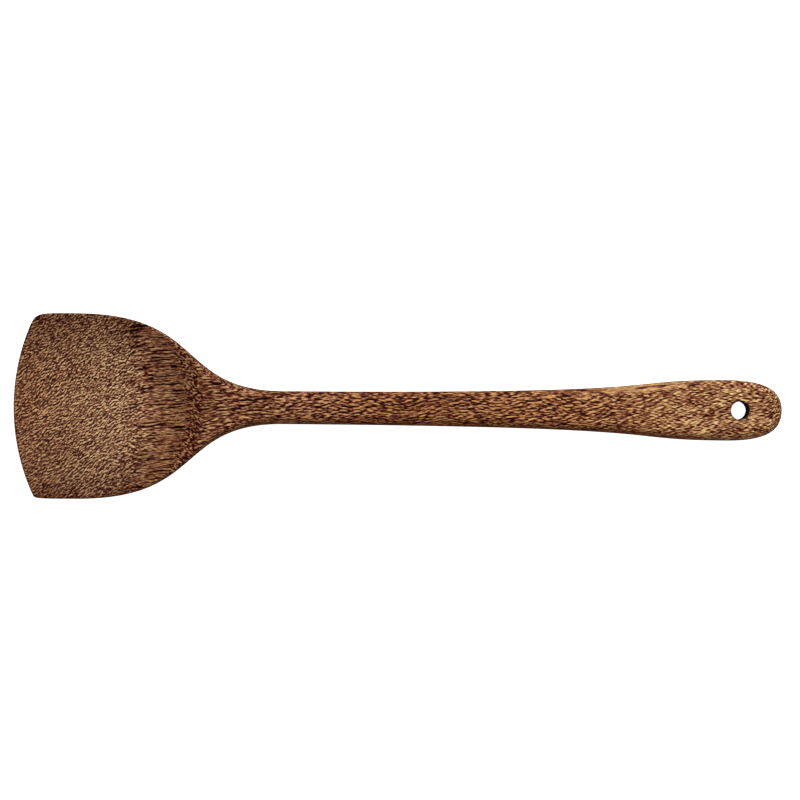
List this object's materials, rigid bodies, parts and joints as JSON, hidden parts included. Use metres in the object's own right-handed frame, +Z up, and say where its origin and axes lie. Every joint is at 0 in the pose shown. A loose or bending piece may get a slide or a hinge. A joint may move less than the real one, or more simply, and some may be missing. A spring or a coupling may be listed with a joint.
{
  "type": "wooden spatula",
  "caption": "Wok spatula carved from one plank of dark hardwood, with a dished blade, a curved tip edge, a slim neck and a swelling grip with a hanging hole.",
  "frame": {"origin": "on the table the spatula lies on, under the middle of its length and of its blade's width", "axes": "+X along the length from the blade's tip to the end of the grip, +Y across the blade towards its rounder tip corner, +Z up out of the blade's face"},
  "size_m": [0.36, 0.087, 0.013],
  "materials": {
    "oiled_hardwood": "sanded and oiled, satin"
  },
  "bodies": {
    "root": {"spatula_body": "oiled_hardwood"}
  },
  "joints": []
}
